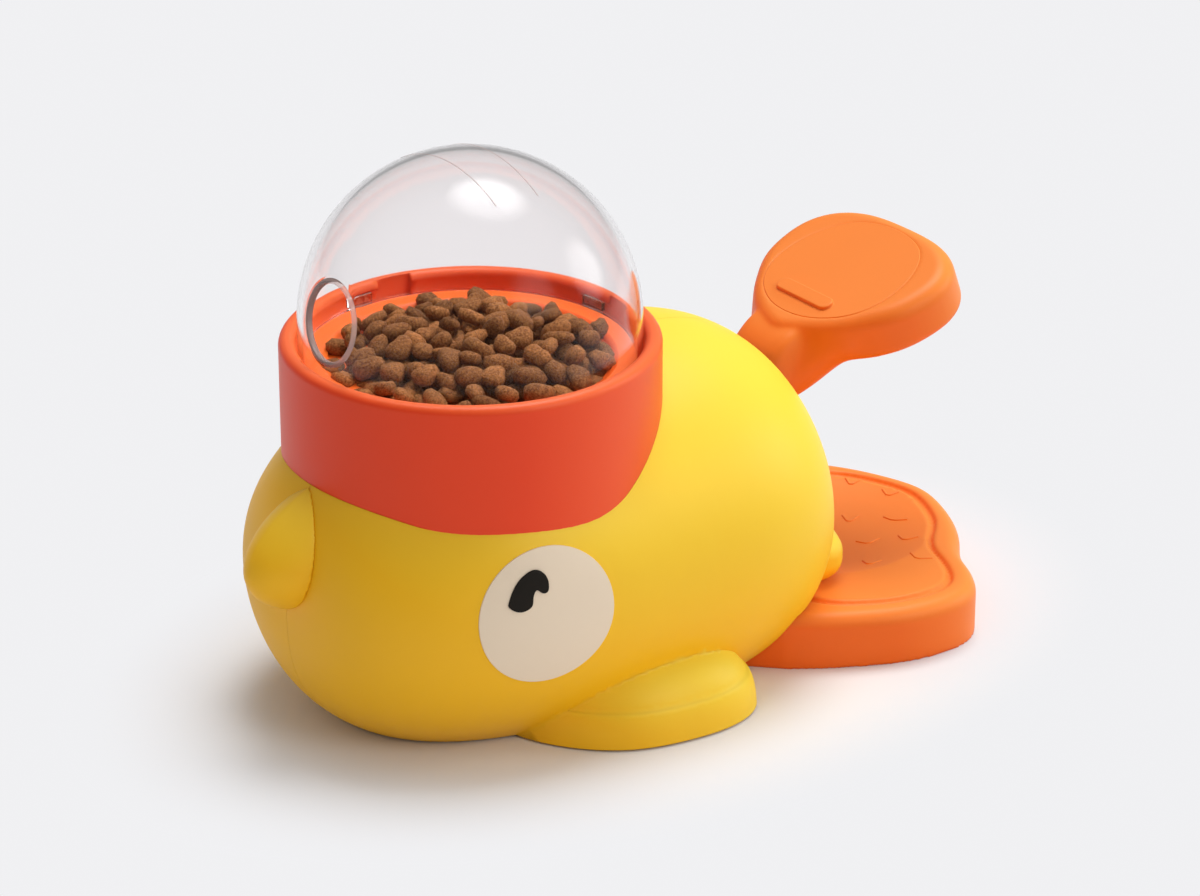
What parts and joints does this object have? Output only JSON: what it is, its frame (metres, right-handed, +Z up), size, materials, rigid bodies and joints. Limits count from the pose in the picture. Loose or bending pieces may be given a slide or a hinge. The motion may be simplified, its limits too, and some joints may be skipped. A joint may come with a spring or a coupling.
{
  "type": "dog puzzle feeder",
  "caption": "Duck-shaped dog feeder: pressing the tail lever opens a metering slide under a clear-domed hopper, so treats slide down a chute into a pull-out webbed-foot tray.",
  "frame": {"origin": "under the middle of the whole feeder, on the floor", "axes": "+X towards the tail, where the lever and the tray are, -Y the duck's left-hand side, +Z up"},
  "size_m": [0.304, 0.1702, 0.2013],
  "materials": {
    "yellow_shell": "satin moulded plastic",
    "collar_plastic": "satin moulded plastic",
    "orange_plastic": "satin moulded plastic",
    "eye_white": "smooth label film",
    "pupil_black": "smooth label film",
    "clear_dome": "clear polished plastic",
    "kibble": "dry grainy food pellets",
    "inner_plastic": "plain moulded plastic",
    "slide_plastic": "low-friction plastic",
    "pivot_steel": "turned steel",
    "screw_steel": "zinc-plated steel",
    "bush_plastic": "bearing plastic",
    "spring_steel": "drawn spring wire",
    "foot_rubber": "soft rubber"
  },
  "bodies": {
    "base": {"body_shell_left": "yellow_shell", "body_shell_right": "yellow_shell", "beak": "yellow_shell", "eye_left": "eye_white", "eye_right": "eye_white", "pupil_left": "pupil_black", "pupil_right": "pupil_black", "hopper_collar": "collar_plastic", "hopper_bowl": "collar_plastic", "kibble_fill": "kibble", "gate_deck": "inner_plastic", "chute": "inner_plastic", "outlet_hood": "yellow_shell", "side_frame_left": "inner_plastic", "side_frame_right": "inner_plastic", "bush_left": "bush_plastic", "bush_right": "bush_plastic", "return_spring": "spring_steel", "base_plate": "yellow_shell", "rubber_pads": "foot_rubber", "base_screws": "screw_steel", "frame_screws": "screw_steel", "shell_screws": "screw_steel", "collar_screws": "screw_steel"},
    "dome": {"dome": "clear_dome"},
    "gate": {"gate_slide": "slide_plastic"},
    "lever": {"lever": "orange_plastic", "lever_pad": "orange_plastic", "lever_axle": "pivot_steel", "axle_clips": "spring_steel", "drive_pin": "pivot_steel"},
    "tray": {"tray": "orange_plastic"}
  },
  "joints": [
    {"name": "lever_press", "type": "hinge", "parent": "base", "child": "lever", "pos_m": [0.0525, 0, 0.058], "axis": [0, 1, 0], "range_deg": [0, 22], "stiffness_Nm_per_rad": 0.45, "springref_deg": -20.05, "deforming": ["return_spring"]},
    {"name": "gate_slide_travel", "type": "slide", "parent": "base", "child": "gate", "axis": [1, 0, 0], "range_m": [0, 0.01435]},
    {"name": "tray_slide", "type": "slide", "parent": "base", "child": "tray", "axis": [1, 0, 0], "range_m": [0, 0.045]},
    {"name": "dome_twist", "type": "hinge", "parent": "base", "child": "dome", "pos_m": [-0.058, 0, 0.141], "axis": [0, 0, 1], "range_deg": [-14.4, 0]}
  ],
  "couplings": [
    {"joint": "gate_slide_travel", "follows": "lever_press", "m_per_rad": 0.037269}
  ]
}
